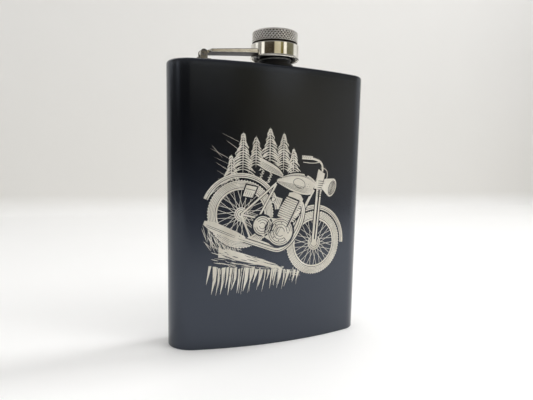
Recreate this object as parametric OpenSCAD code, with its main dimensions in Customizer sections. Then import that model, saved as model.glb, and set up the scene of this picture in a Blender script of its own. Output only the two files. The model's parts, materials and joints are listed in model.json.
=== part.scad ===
// Hip flask with a curved body and a captive screw cap on a hinged arm.
// Millimetres. +Z is up, the convex front faces -Y, and the origin is on the surface
// it stands on, below the middle of its outline.

/* [Body] */
// Overall width, end to end
body_w = 95; // [80:1:120]
// Height from the base to the edge of the shoulder
body_h = 124; // [90:1:150]
// Thickness, front to back
body_t = 22; // [18:0.5:26]
// Radius of the curve of the front face
front_r = 165; // [120:5:300]
// Thickness of the sheet that the body is made of
sheet = 0.8; // [0.5:0.1:1.0]
// Rounding of the edge round the shoulder
shoulder_r = 1.4; // [1.1:0.1:2.5]
// Rounding of the edge round the base
foot_r = 0.6; // [0.2:0.1:0.7]
// Rise of the shoulder's crown above its edge
crown = 0.5; // [0.2:0.1:0.8]
// Height of the shoulder's rim, from the seam with the wall to the edge
rim_h = 3.2; // [2.8:0.2:6]
// Depth that the base plate is set up into the body
base_recess = 1.8; // [0.8:0.2:4]

/* [Neck] */
// Diameter of the mouth
bore_d = 12.4; // [10:0.2:15]
// Thickness of the neck's wall, without its thread
neck_wall = 0.8; // [0.6:0.1:1.4]
// Height of the neck's top above the edge of the shoulder
neck_rise = 9.5; // [8.6:0.1:9.8]
// How far the neck reaches down inside the shoulder
neck_tail = 1.4; // [0.4:0.2:4]
// Width of the ring that the neck stands in
foot_ring_w = 1.4; // [0.8:0.1:1.6]
// Height of that ring above the shoulder's crown
foot_ring_h = 0.9; // [0.4:0.1:1.6]
// Distance between two turns of the thread
pitch = 2; // [1.5:0.1:2.4]
// Height of the thread's crest on the neck and in the cap
thread_h = 0.45; // [0.3:0.05:0.6]

/* [Cap] */
// Height of the bottom of the collar above the edge of the shoulder
collar_lift = 3.5; // [2.6:0.1:4]
// Height of the collar that carries the cap
collar_h = 6.2; // [5.4:0.1:7]
// Thickness of the collar's wall
collar_wall = 0.6; // [0.4:0.05:1]
// Radius of the bead round the bottom of the collar
bead_r = 0.42; // [0.35:0.01:0.6]
// Gap between the collar and the closed cap's head
head_gap = 0.7; // [0.3:0.1:1]
// Height of the cap's knurled head
head_h = 4.8; // [4:0.1:7]
// Rise of the head's domed top above its knurled side
head_dome = 0.8; // [0.4:0.1:1.4]
// Width by which the head overhangs the cap's skirt
head_step = 0.78; // [0.6:0.02:1.5]
// Thickness of the cap's skirt
skirt_wall = 0.5; // [0.4:0.05:0.8]
// Thickness of the top of the cap's head
head_top = 0.9; // [0.6:0.1:1.5]
// Thickness of the insert's wall behind its thread
insert_wall = 0.4; // [0.3:0.05:0.8]
// Thickness of the sealing disc
gasket_t = 1.2; // [0.8:0.1:1.5]
// Width of the ring that keeps the cap in the collar
keeper_w = 0.6; // [0.5:0.05:1]
// Height of that ring
keeper_h = 0.9; // [0.6:0.1:1]

/* [Arm] */
// Distance of the hinge pin from the end of the body
hinge_inset = 14.3; // [12:0.1:16]
// Height of the hinge pin above the edge of the shoulder
hinge_rise = 3.3; // [2.7:0.1:3.6]
// Diameter of the hinge pin
pin_d = 1.6; // [1.2:0.1:1.8]
// Width of the arm
arm_w = 8; // [6:0.2:10]
// Thickness of the arm at the hinge
arm_t = 1.4; // [1:0.1:1.6]
// Thickness of the arm at the collar
arm_end_t = 2; // [1.6:0.1:2.2]
// Rise of the arm's underside for each millimetre that it runs towards the cap
arm_slope = 0.09; // [0:0.01:0.12]
// Width of the bracket, over its two ears
hinge_w = 4.2; // [3.6:0.1:5.6]
// Thickness of each of the bracket's two ears
ear_t = 0.7; // [0.5:0.1:1]
// Radius of the ears' round tops
ear_r = 1.5; // [1.4:0.1:2]
// Length of the bracket's foot
bracket_l = 6; // [5:0.2:8]
// Thickness of the bracket's foot
bracket_t = 0.6; // [0.4:0.1:0.8]

/* [Fits] */
// Gap round the hinge pin in the arm's knuckle
pin_gap = 0.05; // [0.02:0.01:0.1]
// Gap at each end of the knuckle
side_gap = 0.15; // [0.1:0.05:0.3]
// Gap between the cap's skirt and the collar's lip
lip_gap = 0.1; // [0.05:0.05:0.2]
// Gap between the keeper ring and the collar's bore
keeper_gap = 0.15; // [0.1:0.05:0.3]
// Gap between the sealing disc and what it bears on
seal_gap = 0.05; // [0.02:0.01:0.1]
// Gap left as the cap's thread swings past the top of the neck
swing_gap = 0.1; // [0.05:0.05:0.3]

/* [Hidden] */
$fn = 96;
eps = 0.01;
bite = 0.1;

// The outline is a band of even thickness along an arc, with a full round at each end.
half_t = body_t / 2;
mid_r = front_r - half_t;
end_x = body_w / 2 - half_t;
arc_half = asin(end_x / mid_r);
end_rise = mid_r * (1 - cos(arc_half));
neck_y = -end_rise / 2;
arc_y = neck_y + mid_r;
lap_angle = 1;

// Body heights
seam_z = body_h - rim_h;
top_z = body_h + crown;
flat_half = half_t - shoulder_r;
dome_r = (flat_half * flat_half + crown * crown) / (2 * crown);
inner_edge_r = shoulder_r - sheet;

// Hinge, arm and collar places
hinge_x = -(body_w / 2 - hinge_inset);
hinge_z = body_h + hinge_rise;
collar_z = body_h + collar_lift;
collar_top = collar_z + collar_h;
head_z = collar_top + head_gap;
neck_top = body_h + neck_rise;

// The cap has to swing off the neck about the hinge, so its thread stands clear of the neck's
// by the arc that its lowest inner edge sweeps while it passes the neck's top.
insert_z = collar_z + 0.9;
neck_root_r = bore_d / 2 + neck_wall;
neck_crest_r = neck_root_r + thread_h;
swing_reach = neck_crest_r - hinge_x;
swing_arc = (pow(neck_top - hinge_z, 2) - pow(insert_z - hinge_z, 2)) / (2 * swing_reach);
insert_crest_r = neck_crest_r + swing_arc + swing_gap;
insert_root_r = insert_crest_r + thread_h;
insert_r = insert_root_r + insert_wall;
skirt_r = insert_r + skirt_wall;
head_r = skirt_r + head_step;
lip_r = skirt_r + lip_gap;
keeper_r = skirt_r + keeper_w;
collar_bore_r = keeper_r + keeper_gap;
collar_r = collar_bore_r + collar_wall;
lip_h = 0.6;
skirt_z = collar_z + 0.6;
keeper_z = skirt_z + 0.4;
gasket_z = neck_top + seal_gap;
partition_z = gasket_z + gasket_t + seal_gap;
partition_t = 1.4;
head_top_z = head_z + head_h;
ceiling_z = head_top_z + head_dome - head_top;
head_dome_r = (head_r * head_r + head_dome * head_dome) / (2 * head_dome);
head_chamfer = 0.35;

// Hinge details
knuckle_r = ear_r - 0.15;
knuckle_half = hinge_w / 2 - ear_t - side_gap;
ear_outer = hinge_w / 2;
arm_offset = -0.2;
waist_end = ear_r + 0.6;
pin_head_r = pin_d / 2 + 0.45;
pin_head_t = 0.25;

// Sweeps a half profile, drawn outward from the centreline, along the whole outline. Each
// side is swept from its round end inward, and the two overlap a little in the middle.
module kidney() {
    for (side = [0, 1])
        mirror([side, 0, 0])
            translate([0, arc_y, 0])
                rotate([0, 0, 270 + arc_half]) {
                    rotate_extrude(angle = -(arc_half + lap_angle), $fn = 360)
                        translate([mid_r, 0]) {
                            children();
                            mirror([1, 0])
                                children();
                        }
                    translate([mid_r, 0, 0])
                        rotate_extrude(angle = 180)
                            children();
                }
}

// Half of the shoulder's outside in section, set in from the surface by inset
module shoulder_profile(inset, edge) {
    side = half_t - inset;
    intersection() {
        translate([0, top_z - dome_r])
            circle(r = dome_r - inset, $fn = 720);
        union() {
            translate([0, seam_z - eps])
                square([side, body_h - inset - edge - seam_z + eps]);
            translate([0, seam_z - eps])
                square([side - edge, top_z - seam_z + eps]);
            translate([side - edge, body_h - inset - edge])
                circle(r = edge, $fn = 48);
        }
    }
}

module shoulder_outside() {
    kidney()
        shoulder_profile(0, shoulder_r);
}

module body_wall() {
    color([0.05, 0.05, 0.055])
        kidney()
            difference() {
                translate([half_t - sheet, 0])
                    square([sheet, seam_z]);
                difference() {
                    translate([half_t - foot_r, -eps])
                        square([foot_r + eps, foot_r + eps]);
                    translate([half_t - foot_r, foot_r])
                        circle(r = foot_r, $fn = 48);
                }
            }
}

module shoulder_plate() {
    color([0.05, 0.05, 0.055])
        difference() {
            kidney()
                intersection() {
                    difference() {
                        shoulder_profile(0, shoulder_r);
                        shoulder_profile(sheet, inner_edge_r);
                    }
                    translate([0, seam_z])
                        square([half_t, body_h]);
                }
            translate([0, neck_y, seam_z])
                cylinder(r = neck_root_r, h = rim_h + crown + 1);
        }
}

module base_plate() {
    flange_out = half_t - sheet;
    color([0.05, 0.05, 0.055])
        kidney()
            difference() {
                square([flange_out, base_recess + sheet]);
                translate([-eps, -eps])
                    square([flange_out - sheet + eps, base_recess + eps]);
            }
}

// Section of one turn of thread, which stands out (1) or in (-1) from the wall
module thread_ring(way) {
    polygon([[-way * bite, -pitch * 0.3], [0, -pitch * 0.3], [way * thread_h, -pitch * 0.1],
             [way * thread_h, pitch * 0.1], [0, pitch * 0.3], [-way * bite, pitch * 0.3]]);
}

// Neck with its thread as rings, and the foot ring that it stands in
module neck_spout() {
    thread_z0 = top_z + foot_ring_h + 0.9;
    turns = floor((neck_top - 0.8 - thread_z0) / pitch) + 1;
    color([0.05, 0.05, 0.055])
        difference() {
            translate([0, neck_y, 0]) {
                rotate_extrude()
                    union() {
                        translate([0, top_z - sheet - neck_tail])
                            square([neck_root_r, neck_top - top_z + sheet + neck_tail]);
                        for (i = [0 : turns - 1])
                            translate([neck_root_r, thread_z0 + i * pitch])
                                thread_ring(1);
                    }
                difference() {
                    translate([0, 0, body_h - 0.5])
                        cylinder(r = neck_root_r + foot_ring_w, h = crown + foot_ring_h + 0.5);
                    translate([0, -neck_y, 0])
                        shoulder_outside();
                }
            }
            translate([0, neck_y, seam_z - 1])
                cylinder(r = bore_d / 2, h = neck_top - seam_z + 2);
        }
}

// Two round-topped ears on a foot that follows the shoulder
module hinge_bracket() {
    color([0.72, 0.71, 0.68])
        translate([hinge_x, neck_y, 0])
            difference() {
                union() {
                    translate([-bracket_l / 2, -ear_outer, body_h - 0.5])
                        cube([bracket_l, 2 * ear_outer, crown + bracket_t + 0.5]);
                    for (side = [-1, 1])
                        translate([0, side * (ear_outer - ear_t / 2), 0]) {
                            translate([0, ear_t / 2, hinge_z])
                                rotate([90, 0, 0])
                                    cylinder(r = ear_r, h = ear_t);
                            translate([-ear_r, -ear_t / 2, body_h - 0.5])
                                cube([2 * ear_r, ear_t, hinge_rise + 0.5]);
                        }
                }
                translate([0, ear_outer + 1, hinge_z])
                    rotate([90, 0, 0])
                        cylinder(r = pin_d / 2, h = 2 * ear_outer + 2);
                translate([-hinge_x, -neck_y, 0])
                    shoulder_outside();
            }
}

module hinge_pin() {
    color([0.72, 0.71, 0.68])
        translate([hinge_x, neck_y, hinge_z])
            rotate([90, 0, 0])
                rotate_extrude()
                    union() {
                        translate([0, -ear_outer])
                            square([pin_d / 2, 2 * ear_outer]);
                        for (side = [-1, 1])
                            translate([0, side > 0 ? ear_outer : -ear_outer - pin_head_t])
                                square([pin_head_r, pin_head_t]);
                    }
}

// A width of the strap, in the hinge's place, from a distance from the pin to the collar
module strap(width, start) {
    end = -hinge_x - collar_bore_r;
    thicken = (arm_end_t - arm_t) / end;
    translate([0, width / 2, arm_offset])
        rotate([90, 0, 0])
            linear_extrude(width)
                polygon([[start, arm_slope * start], [end, arm_slope * end],
                         [end, arm_slope * end + arm_end_t],
                         [start, (arm_slope + thicken) * start + arm_t]]);
}

// Knuckle, waist and strap of the arm, whose end is cut to lie on the collar and to clear its bead
module cap_arm() {
    color([0.77, 0.76, 0.72])
        difference() {
            translate([hinge_x, neck_y, hinge_z])
                union() {
                    translate([0, knuckle_half, 0])
                        rotate([90, 0, 0])
                            cylinder(r = knuckle_r, h = 2 * knuckle_half);
                    strap(2 * knuckle_half, 0);
                    strap(arm_w, waist_end);
                }
            translate([hinge_x, neck_y + arm_w, hinge_z])
                rotate([90, 0, 0])
                    cylinder(r = pin_d / 2 + pin_gap, h = 2 * arm_w);
            translate([0, neck_y, collar_z])
                cylinder(r = collar_r, h = collar_h);
            translate([0, neck_y, collar_z])
                cylinder(r = collar_bore_r + 2 * bead_r, h = 2 * bead_r);
        }
}

// Smooth band with an inward lip at its top and a bead round its bottom
module cap_collar() {
    color([0.80, 0.79, 0.75])
        translate([0, neck_y, 0])
            rotate_extrude()
                union() {
                    translate([collar_bore_r, collar_z + bead_r])
                        square([collar_wall, collar_h - bead_r - lip_h]);
                    translate([lip_r, collar_top - lip_h])
                        square([collar_r - lip_r, lip_h]);
                    translate([collar_bore_r + bead_r, collar_z + bead_r])
                        circle(r = bead_r, $fn = 32);
                }
}

module cap_gasket() {
    color([0.86, 0.86, 0.82])
        translate([0, neck_y, gasket_z])
            cylinder(r = insert_crest_r - seal_gap, h = gasket_t);
}

// Head with a domed top, and the skirt that reaches down through the collar
module cap_shell() {
    color([0.70, 0.69, 0.66])
        translate([0, neck_y, 0])
            rotate_extrude()
                difference() {
                    union() {
                        translate([0, skirt_z])
                            square([skirt_r, head_top_z - skirt_z]);
                        intersection() {
                            translate([0, head_top_z + head_dome - head_dome_r])
                                circle(r = head_dome_r, $fn = 720);
                            translate([0, head_z])
                                polygon([[0, 0], [head_r - head_chamfer, 0], [head_r, head_chamfer],
                                         [head_r, head_h - head_chamfer],
                                         [head_r - head_chamfer, head_h],
                                         [head_r - head_chamfer, head_h + head_dome],
                                         [0, head_h + head_dome]]);
                        }
                    }
                    translate([-eps, skirt_z - eps])
                        square([insert_r + eps, ceiling_z - skirt_z + eps]);
                }
}

// Sleeve with the cap's thread as rings, and a partition above the sealing disc
module cap_insert() {
    turns = floor((neck_top - 0.6 - insert_z) / pitch);
    color([0.16, 0.16, 0.17])
        translate([0, neck_y, 0])
            union() {
                rotate_extrude()
                    union() {
                        translate([insert_root_r, insert_z])
                            square([insert_wall, ceiling_z - insert_z]);
                        translate([0, partition_z])
                            square([insert_r, partition_t]);
                        translate([insert_crest_r, gasket_z])
                            square([insert_r - insert_crest_r, partition_z - gasket_z + bite]);
                    }
                for (i = [0 : turns - 1])
                    translate([0, 0, insert_z + 0.8 + i * pitch])
                        rotate_extrude()
                            translate([insert_root_r, 0])
                                thread_ring(-1);
            }
}

// Ring pressed on the skirt, which stops under the collar's lip
module keeper_ring() {
    color([0.66, 0.66, 0.64])
        translate([0, neck_y, 0])
            rotate_extrude()
                translate([skirt_r, keeper_z])
                    square([keeper_w, keeper_h]);
}

body_wall();
shoulder_plate();
base_plate();
neck_spout();
hinge_bracket();
hinge_pin();
cap_arm();
cap_collar();
cap_gasket();
cap_shell();
cap_insert();
keeper_ring();
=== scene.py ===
"""Looks of the hip flask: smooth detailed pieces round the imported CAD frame.

The frame is in metres. Shapes are worked out in millimetres and scaled once, as each mesh is made.
+Z is up, the convex front faces -Y, and the origin is on the surface that the flask stands on.
"""
import json
import random
from math import asin, ceil, cos, dist, hypot, pi, radians, sin, sqrt, tan, tau

import bmesh
import bpy
from mathutils import Matrix, Vector


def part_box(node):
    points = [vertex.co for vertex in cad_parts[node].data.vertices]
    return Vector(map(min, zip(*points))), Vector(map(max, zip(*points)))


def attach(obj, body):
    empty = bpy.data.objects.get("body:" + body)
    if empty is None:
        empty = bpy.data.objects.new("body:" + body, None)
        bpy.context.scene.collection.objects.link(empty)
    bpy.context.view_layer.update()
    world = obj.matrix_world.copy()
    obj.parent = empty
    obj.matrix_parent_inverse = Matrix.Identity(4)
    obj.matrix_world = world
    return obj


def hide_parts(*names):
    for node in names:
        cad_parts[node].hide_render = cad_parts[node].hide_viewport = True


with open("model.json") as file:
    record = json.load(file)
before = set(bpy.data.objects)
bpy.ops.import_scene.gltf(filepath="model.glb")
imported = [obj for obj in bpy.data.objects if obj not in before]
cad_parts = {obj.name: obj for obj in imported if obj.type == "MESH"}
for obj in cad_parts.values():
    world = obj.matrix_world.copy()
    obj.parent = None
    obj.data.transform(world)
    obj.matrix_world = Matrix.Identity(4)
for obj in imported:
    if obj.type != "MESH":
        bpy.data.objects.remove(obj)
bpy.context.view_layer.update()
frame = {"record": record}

MM = 0.001
scene = bpy.context.scene
scene.view_settings.view_transform = "Standard"


def add_object(name, data):
    """Puts a new object with this data into the scene."""
    made = bpy.data.objects.new(name, data)
    scene.collection.objects.link(made)
    return made


# ---------------- camera

def make_camera():
    """Camera at the photograph's viewing angle and framing."""
    data = bpy.data.cameras.new("camera")
    data.lens = 32.85
    data.sensor_width = 36
    data.shift_y = 0.0529
    data.clip_start = 0.01
    made = add_object("camera", data)
    yaw, pitch, roll = radians(-24.12), radians(-7.506), radians(-1.09)
    turn = Matrix.Rotation(yaw, 4, "Z") @ Matrix.Rotation(pitch, 4, "X") @ Matrix.Rotation(roll, 4, "Y")
    face_forward = Matrix.Rotation(pi / 2, 4, "X")
    made.matrix_world = Matrix.Translation((-0.094268, -0.20748, 0.081547)) @ turn @ face_forward
    scene.camera = made


make_camera()


# ---------------- sizes, in millimetres

def span(node, axis):
    """Lowest and highest millimetre of a CAD node along axis 0, 1 or 2."""
    low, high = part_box(node)
    return low[axis] / MM, high[axis] / MM


HALF_T = 11.0
FRONT_R = 165.0
SHEET = 0.8
HALF_W = span("body_wall", 0)[1]
SEAM_Z = span("body_wall", 2)[1]
TOP_Z = span("shoulder_plate", 2)[1]
CROWN = 0.5
EDGE_Z = TOP_Z - CROWN
NECK_Y = sum(span("cap_shell", 1)) / 2
MID_R = FRONT_R - HALF_T
ARC_Y = NECK_Y + MID_R
END_X = HALF_W - HALF_T
ARC_HALF = asin(END_X / MID_R)
COAT_INSET = 0.04

HINGE = [value / MM for value in frame["record"]["behaviour"]["joints"][0]["pos_m"]]
COLLAR_BOTTOM, COLLAR_TOP = span("cap_collar", 2)
COLLAR_WALL = 0.6
BEAD_R = 0.42
COLLAR_R = span("cap_collar", 0)[1] - 2 * BEAD_R + COLLAR_WALL
NECK_BOTTOM, NECK_TOP = span("neck_spout", 2)
BORE_R = 6.2
NECK_R = BORE_R + 0.8
THREAD_H = 0.45
THREAD_PITCH = 2.0
HEAD_R = span("cap_shell", 0)[1]
SHELL_BOTTOM, SHELL_TOP = span("cap_shell", 2)
HEAD_BOTTOM = COLLAR_TOP + 0.7
HEAD_TOP = SHELL_TOP - 0.8
KNURL_DEPTH = 0.26
INSERT_R = span("cap_insert", 0)[1]
INSERT_BOTTOM, INSERT_TOP = span("cap_insert", 2)
KEEPER_R = span("keeper_ring", 0)[1]
SKIRT_R = KEEPER_R - 0.6


# ---------------- mesh tools

def rounded(corners, closed=True, steps=5, hold=0.05):
    """Outline through corners (x, y, radius), with each corner rounded by an arc.

    A point is held close to both ends of every arc, so that the flats beside it shade flat.
    """
    points = []
    count = len(corners)
    for i, (x, y, radius) in enumerate(corners):
        if radius == 0 or (not closed and i in (0, count - 1)):
            points.append((x, y))
            continue
        here = Vector((x, y))
        before = Vector(corners[i - 1][:2]) - here
        after = Vector(corners[(i + 1) % count][:2]) - here
        half = before.angle(after) / 2
        reach = min(radius / tan(half), 0.45 * before.length, 0.45 * after.length)
        start = here + before.normalized() * reach
        end = here + after.normalized() * reach
        centre = here + (before.normalized() + after.normalized()).normalized() * (reach / cos(half))
        if before.length > 3 * (reach + hold):
            points.append(tuple(here + before.normalized() * (reach + hold)))
        turn = (start - centre).angle_signed(end - centre)
        for k in range(steps + 1):
            spoke = (start - centre).copy()
            spoke.rotate(Matrix.Rotation(-turn * k / steps, 2))
            points.append(tuple(centre + spoke))
        if after.length > 3 * (reach + hold):
            points.append(tuple(here + after.normalized() * (reach + hold)))
    return points


def finer(points, step, wanted, closed=True):
    """Splits an outline's edges into pieces of step at most where wanted(x, y) is true."""
    made = []
    count = len(points)
    for i in range(count if closed else count - 1):
        (x0, y0), (x1, y1) = points[i], points[(i + 1) % count]
        made.append((x0, y0))
        if wanted((x0 + x1) / 2, (y0 + y1) / 2):
            pieces = ceil(hypot(x1 - x0, y1 - y0) / step)
            for k in range(1, pieces):
                made.append((x0 + (x1 - x0) * k / pieces, y0 + (y1 - y0) * k / pieces))
    if not closed:
        made.append(points[-1])
    return made


def skin(mesh, rows, closed):
    """Faces between rows of vertices that run all the way round. A row of one is a pole."""
    pairs = list(zip(rows, rows[1:]))
    if closed:
        pairs.append((rows[-1], rows[0]))
    for a, b in pairs:
        around = max(len(a), len(b))
        for i in range(around):
            j = (i + 1) % around
            corners = [a[i % len(a)], a[j % len(a)], b[j % len(b)], b[i % len(b)]]
            corners = list(dict.fromkeys(corners))
            if len(corners) > 2:
                mesh.faces.new(corners)


def vert(mesh, x, y, z):
    """Adds a vertex to a bmesh, in millimetres."""
    return mesh.verts.new((x * MM, y * MM, z * MM))


def finish_mesh(mesh, name, crease):
    """Smooth mesh of a bmesh, with edges sharp above an angle in degrees."""
    bmesh.ops.recalc_face_normals(mesh, faces=mesh.faces)
    made = bpy.data.meshes.new(name)
    mesh.to_mesh(made)
    mesh.free()
    made.shade_smooth()
    made.set_sharp_from_angle(angle=radians(crease))
    return made


def piece(name, mesh, body, slot, look, *nodes, crease=40):
    """Adds a bmesh as a piece that rides on a body and stands for CAD nodes."""
    made = add_object(name, finish_mesh(mesh, name, crease))
    made.data.materials.append(look)
    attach(made, body)
    if nodes:
        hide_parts(*nodes)


def revolve(profile, segments=192, relief=None):
    """Bmesh of a profile of (radius, height) turned about the neck's axis.

    A profile that starts at radius 0 runs from axis to axis; any other is a closed ring. relief
    gives what is added to the radius at (turn, radius, height).
    """
    mesh = bmesh.new()
    rows = []
    for radius, z in profile:
        if radius == 0:
            rows.append([vert(mesh, 0, NECK_Y, z)])
            continue
        row = []
        for i in range(segments):
            turn = tau * i / segments
            out = radius + (relief(turn, radius, z) if relief else 0)
            row.append(vert(mesh, out * cos(turn), NECK_Y + out * sin(turn), z))
        rows.append(row)
    skin(mesh, rows, closed=profile[0][0] > 0)
    return mesh


def outline_columns(arc_steps=110, end_steps=40):
    """Points (x, y) and outward directions (x, y) all round the flask's centreline."""
    end_y = ARC_Y - MID_R * cos(ARC_HALF)
    columns = []
    for side in (1, -1):
        for i in range(arc_steps):
            angle = side * (-ARC_HALF + 2 * ARC_HALF * i / arc_steps)
            columns.append((MID_R * sin(angle), ARC_Y - MID_R * cos(angle),
                            side * sin(angle), -side * cos(angle)))
        for i in range(end_steps):
            angle = side * (ARC_HALF - pi / 2) + pi * i / end_steps
            columns.append((side * END_X, end_y, cos(angle), sin(angle)))
    return columns


def sweep_outline(profile, closed=True):
    """Bmesh of a profile of (distance from the centreline, height) swept round the flask."""
    mesh = bmesh.new()
    columns = outline_columns()
    rows = [[vert(mesh, x + out * dx, y + out * dy, z) for x, y, dx, dy in columns] for out, z in profile]
    skin(mesh, rows, closed)
    bmesh.ops.remove_doubles(mesh, verts=mesh.verts, dist=1e-7)
    bmesh.ops.dissolve_degenerate(mesh, edges=mesh.edges, dist=1e-8)
    return mesh


def plate(outline, low, high, bevel):
    """Bmesh of an outline in x and z with its edges bevelled, from one y to another."""
    mesh = bmesh.new()
    near = [vert(mesh, x, low, z) for x, z in outline]
    far = [vert(mesh, x, high, z) for x, z in outline]
    mesh.faces.new(near)
    mesh.faces.new(far)
    for i in range(len(outline)):
        j = (i + 1) % len(outline)
        mesh.faces.new([near[i], near[j], far[j], far[i]])
    bmesh.ops.recalc_face_normals(mesh, faces=mesh.faces)
    sharp = [edge for edge in mesh.edges if edge.calc_face_angle() > radians(35)]
    bmesh.ops.bevel(mesh, geom=sharp, offset=bevel * MM, segments=3, profile=0.5, affect="EDGES")
    return mesh


def combine(base, others, operation):
    """Bmesh of a bmesh joined with or cut by others, through Blender's exact boolean."""
    def temporary(mesh, name):
        bmesh.ops.recalc_face_normals(mesh, faces=mesh.faces)
        data = bpy.data.meshes.new(name)
        mesh.to_mesh(data)
        mesh.free()
        return add_object(name, data)

    target = temporary(base, "base_shape")
    tools = [temporary(other, "tool_shape") for other in others]
    for tool in tools:
        modifier = target.modifiers.new("boolean", "BOOLEAN")
        modifier.operation = operation
        modifier.solver = "EXACT"
        modifier.object = tool
    done = bpy.data.meshes.new_from_object(target.evaluated_get(bpy.context.evaluated_depsgraph_get()))
    mesh = bmesh.new()
    mesh.from_mesh(done)
    for leftover in [target, *tools]:
        bpy.data.objects.remove(leftover)
    bpy.data.meshes.remove(done)
    bmesh.ops.remove_doubles(mesh, verts=mesh.verts, dist=2e-7)
    return mesh


# ---------------- materials

class Nodes:
    """Adds nodes to a node tree. Each input is a value or another node's output."""

    def __init__(self, tree):
        self.tree = tree

    def fill(self, socket, value):
        """Sets or links an input. A colour may leave out its alpha."""
        if isinstance(value, bpy.types.NodeSocket):
            self.tree.links.new(value, socket)
        else:
            socket.default_value = (*value, 1) if socket.type == "RGBA" else value

    def node(self, kind, *values, operation=None, **inputs):
        """Adds a node and fills its inputs, in order or by name."""
        made = self.tree.nodes.new("ShaderNode" + kind)
        if operation:
            made.operation = operation
        for key, value in [*enumerate(values), *inputs.items()]:
            self.fill(made.inputs[key.replace("_", " ") if isinstance(key, str) else key], value)
        return made

    def math(self, operation, a, b):
        return self.node("Math", a, b, operation=operation).outputs[0]

    def between(self, factor, low, high, from_low=0.3, from_high=0.7):
        """Maps a factor to a number between low and high."""
        return self.node("MapRange", Value=factor, From_Min=from_low, From_Max=from_high,
                         To_Min=low, To_Max=high).outputs["Result"]

    def blend(self, factor, first, second):
        """Mixes two colours by a factor."""
        made = self.node("Mix")
        made.data_type = "RGBA"
        for key, value in (("Factor", factor), (6, first), (7, second)):
            self.fill(made.inputs[key], value)
        return made.outputs[2]


class Look(Nodes):
    """A material. What is the same all over is set on its shader's own sockets."""

    def __init__(self, name, colour, metallic, roughness):
        self.material = bpy.data.materials.new(name)
        self.material.use_nodes = True
        super().__init__(self.material.node_tree)
        self.shader = self.tree.nodes["Principled BSDF"]
        self.spot = self.node("TexCoord").outputs
        self.where = self.place()
        self.relief = None
        self.shade(Base_Color=colour, Metallic=metallic, Roughness=roughness)

    def shade(self, **inputs):
        """Fills inputs of the shader."""
        for name, value in inputs.items():
            self.fill(self.shader.inputs[name.replace("_", " ")], value)

    def place(self, stretch=(1, 1, 1)):
        """Where a point of the surface is on the object, stretched."""
        return self.node("Mapping", Vector=self.spot["Object"], Scale=stretch).outputs["Vector"]

    def turned(self, around=0.02):
        """Place on a turned piece, by radius and height, so that noise makes lines round it."""
        split = self.node("SeparateXYZ", self.spot["Object"]).outputs
        flat = self.node("CombineXYZ", split["X"], self.math("SUBTRACT", split["Y"], NECK_Y * MM)).outputs[0]
        radius = self.node("VectorMath", flat, operation="LENGTH").outputs["Value"]
        lines = self.node("CombineXYZ", X=radius, Z=split["Z"]).outputs[0]
        return self.node("VectorMath", flat, (around,) * 3, lines, operation="MULTIPLY_ADD").outputs[0]

    def noise(self, scale, detail=3.0, rough=0.5, where=None):
        """Noise from 0 to 1 at a number of waves per metre."""
        return self.node("TexNoise", Vector=self.where if where is None else where, Scale=scale,
                         Detail=detail, Roughness=rough).outputs["Fac"]

    def mottle(self, patches, dark, light):
        """A colour that drifts from dark to light with a noise."""
        return self.blend(self.between(patches, 0, 1), dark, light)

    def bump(self, height, depth, strength):
        """Adds relief of a depth in millimetres, over what there is already."""
        made = self.node("Bump", Strength=strength, Distance=depth * MM, Height=height)
        if self.relief is not None:
            self.fill(made.inputs["Normal"], self.relief)
        self.relief = made.outputs["Normal"]
        self.shade(Normal=self.relief)


def black_coat():
    """Black paint: a fine grain over a slight orange peel, and patches dulled by handling."""
    look = Look("black_coat", (0.001, 0.001, 0.0012), 0.0, 0.2)
    handled, speckle = look.noise(28, 4, 0.6), look.noise(900, 4, 0.7)
    rough = look.math("ADD", look.between(handled, 0.18, 0.22), look.between(speckle, -0.015, 0.025))
    look.shade(IOR=1.8, Specular_Tint=(0.71, 0.8, 1.0), Roughness=rough,
               Base_Color=look.mottle(handled, (0.0007, 0.0007, 0.0009), (0.0012, 0.0012, 0.0015)))
    look.bump(speckle, 0.012, 0.35)
    look.bump(look.noise(2600, 2), 0.006, 0.5)
    return look.material


def worn_coat():
    """The black coat on the neck, rubbed through to steel along the crest of the thread."""
    look = Look("worn_coat", (0.001, 0.001, 0.0012), 0.0, 0.42)
    rubbed = look.noise(700, 4, 0.6)
    radius = look.node("SeparateXYZ", look.turned(0.0)).outputs["X"]
    crest_r = NECK_R + THREAD_H
    crest = look.between(radius, 0, 1, (NECK_R + 0.2) * MM, crest_r * MM)
    within = look.between(radius, 1, 0, (crest_r + 0.05) * MM, (crest_r + 0.1) * MM)
    bare = look.math("MULTIPLY", look.math("MULTIPLY", crest, within), look.between(rubbed, 0.2, 1.0))
    look.shade(Base_Color=look.blend(bare, (0.0011, 0.0011, 0.0013), (0.58, 0.57, 0.53)), Metallic=bare,
               Roughness=look.between(rubbed, 0.36, 0.48))
    look.bump(look.noise(2600, 2), 0.006, 0.5)
    return look.material


def bared_steel():
    """Steel that the engraving has laid bare: gritty, with pale patches."""
    look = Look("bared_steel", (0.8, 0.77, 0.68), 0.4, 0.5)
    grit = look.noise(3200, 2)
    look.shade(Base_Color=look.mottle(look.noise(90, 5, 0.65), (0.66, 0.62, 0.53), (0.9, 0.87, 0.79)),
               Roughness=look.between(grit, 0.42, 0.62))
    look.bump(grit, 0.01, 0.6)
    return look.material


def turned_steel(name, dark, light, smooth, dull, groove=0.004):
    """Steel turned on a lathe about the neck's axis: fine lines round it, and faint patches."""
    look = Look(name, light, 1.0, smooth)
    fine = look.noise(5200, 3, 0.6, look.turned())
    worn = look.noise(160, 4, 0.6)
    look.shade(Base_Color=look.mottle(worn, dark, light),
               Roughness=look.math("ADD", look.between(worn, smooth, dull), look.between(fine, -0.02, 0.05)))
    look.bump(fine, groove, 0.35)
    return look.material


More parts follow.
